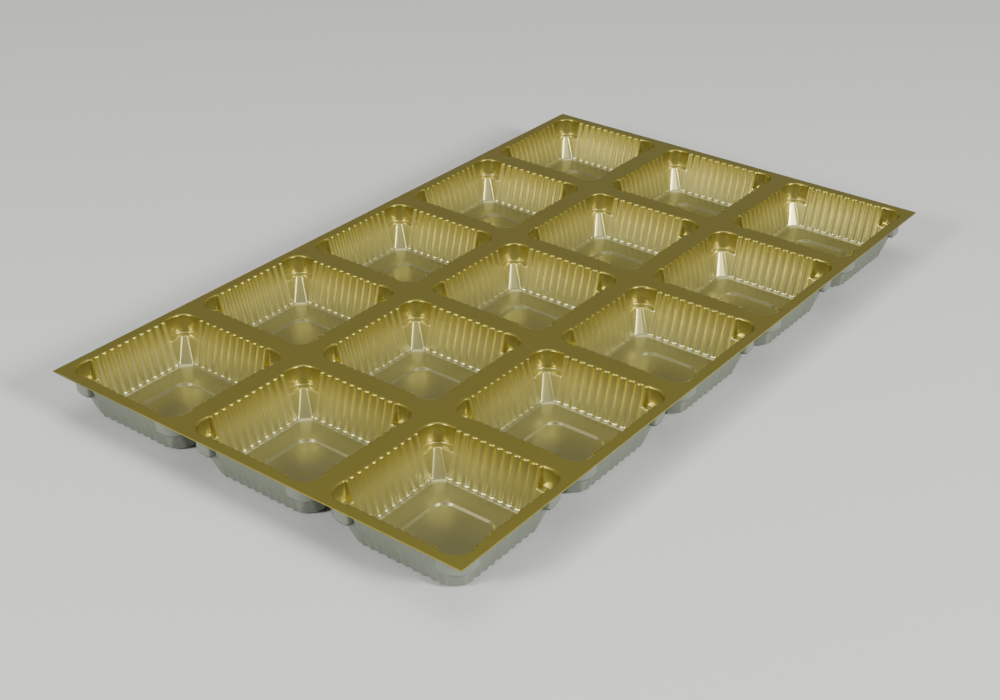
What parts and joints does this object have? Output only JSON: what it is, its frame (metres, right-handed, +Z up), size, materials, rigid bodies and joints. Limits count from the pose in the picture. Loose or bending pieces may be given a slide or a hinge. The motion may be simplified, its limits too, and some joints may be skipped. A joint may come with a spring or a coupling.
{
  "type": "confectionery tray",
  "caption": "Thin thermoformed tray with a flat flange and a grid of square fluted cavities for chocolates or sweets.",
  "frame": {"origin": "middle of the footprint on the plane the tray stands on, which is the underside of the sunk floor panels", "axes": "+Z up out of the cavities, +Y along the long side, +X along the short side"},
  "size_m": [0.12, 0.2, 0.0124],
  "materials": {
    "gold_film": "gold metallised film on the upper face, plain translucent pale film on the underside"
  },
  "bodies": {
    "root": {"tray": "gold_film"}
  },
  "joints": []
}
